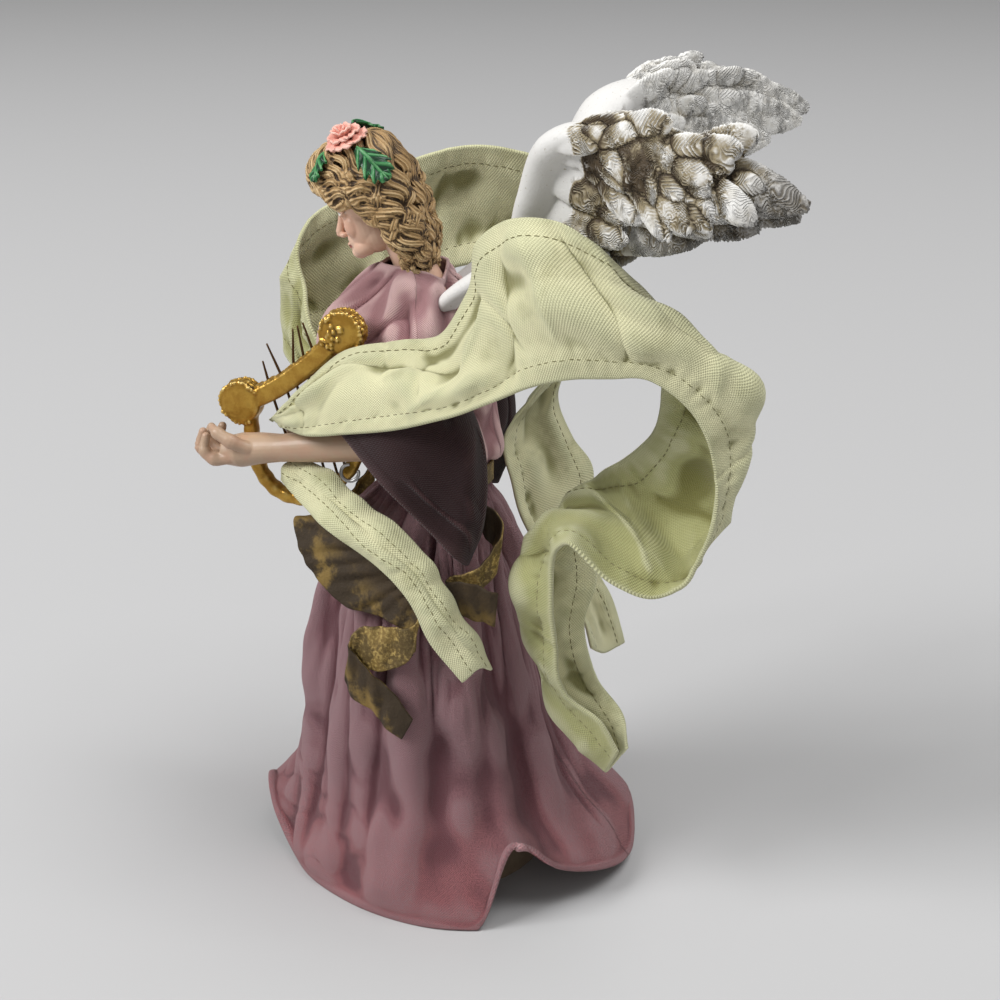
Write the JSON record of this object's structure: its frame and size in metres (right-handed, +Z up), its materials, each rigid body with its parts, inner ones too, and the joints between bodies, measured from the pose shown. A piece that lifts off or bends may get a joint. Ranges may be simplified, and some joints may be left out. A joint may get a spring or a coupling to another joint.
{
  "type": "angel tree topper",
  "caption": "Standing angel in a stiffened cloth dress and scarf, with cast wings, head, hands and lyre, over a hollow cone that slips onto the top of a tree.",
  "frame": {"origin": "middle of the underside of the bounding box, on the surface that the skirt's hem and the cone stand on", "axes": "+Z up; the figure faces -Y; its left hand, which holds the lyre, is on the +X side"},
  "size_m": [0.1838, 0.2052, 0.2821],
  "materials": {
    "card": "matt rolled card",
    "plaster": "cast resin, unpainted",
    "steel_wire": "drawn wire",
    "painted_skin": "cast resin, satin skin paint with blushed cheeks",
    "pink_cloth": "stiffened cotton, dusty pink",
    "rose_cloth": "stiffened cotton, mauve pink deepening to rose at the hem, dry brushed",
    "plum_cloth": "stiffened cotton, plum",
    "gold_ribbon": "stiffened ribbon, antique gold outside and dark brown inside",
    "green_canvas": "stiffened canvas, pale yellow green, machine stitched hems",
    "painted_hair": "cast resin, tan with a dark brown wash",
    "painted_rose": "cast resin, coral pink",
    "painted_leaf": "cast resin, green with pale veins",
    "painted_wing": "cast resin, white with a bronze wash in the recesses",
    "lyre_gold": "cast resin, antique gold paint",
    "bronze_wire": "dark bronze wire"
  },
  "bodies": {
    "root": {"tree_cone": "card", "torso_core": "plaster", "arm_wire": "steel_wire", "head_bust": "painted_skin", "bodice": "pink_cloth", "skirt": "rose_cloth", "waist_ribbon": "gold_ribbon", "forearm_left": "painted_skin", "forearm_right": "painted_skin", "sleeve_left": "plum_cloth", "sleeve_right": "plum_cloth", "shawl_left": "green_canvas", "shawl_right": "green_canvas", "shawl_left_end": "green_canvas", "ribbon_front": "gold_ribbon", "ribbon_hip": "gold_ribbon", "sculpted_hair": "painted_hair", "hair_rose": "painted_rose", "hair_leaf_near": "painted_leaf", "hair_leaf_front": "painted_leaf", "hair_leaf_far": "painted_leaf", "wing_left": "painted_wing", "wing_right": "painted_wing", "lyre_frame": "lyre_gold", "lyre_string_1": "bronze_wire", "lyre_string_2": "bronze_wire", "lyre_string_3": "bronze_wire", "lyre_string_4": "bronze_wire", "lyre_string_5": "bronze_wire", "wire_hook": "steel_wire"}
  },
  "joints": []
}
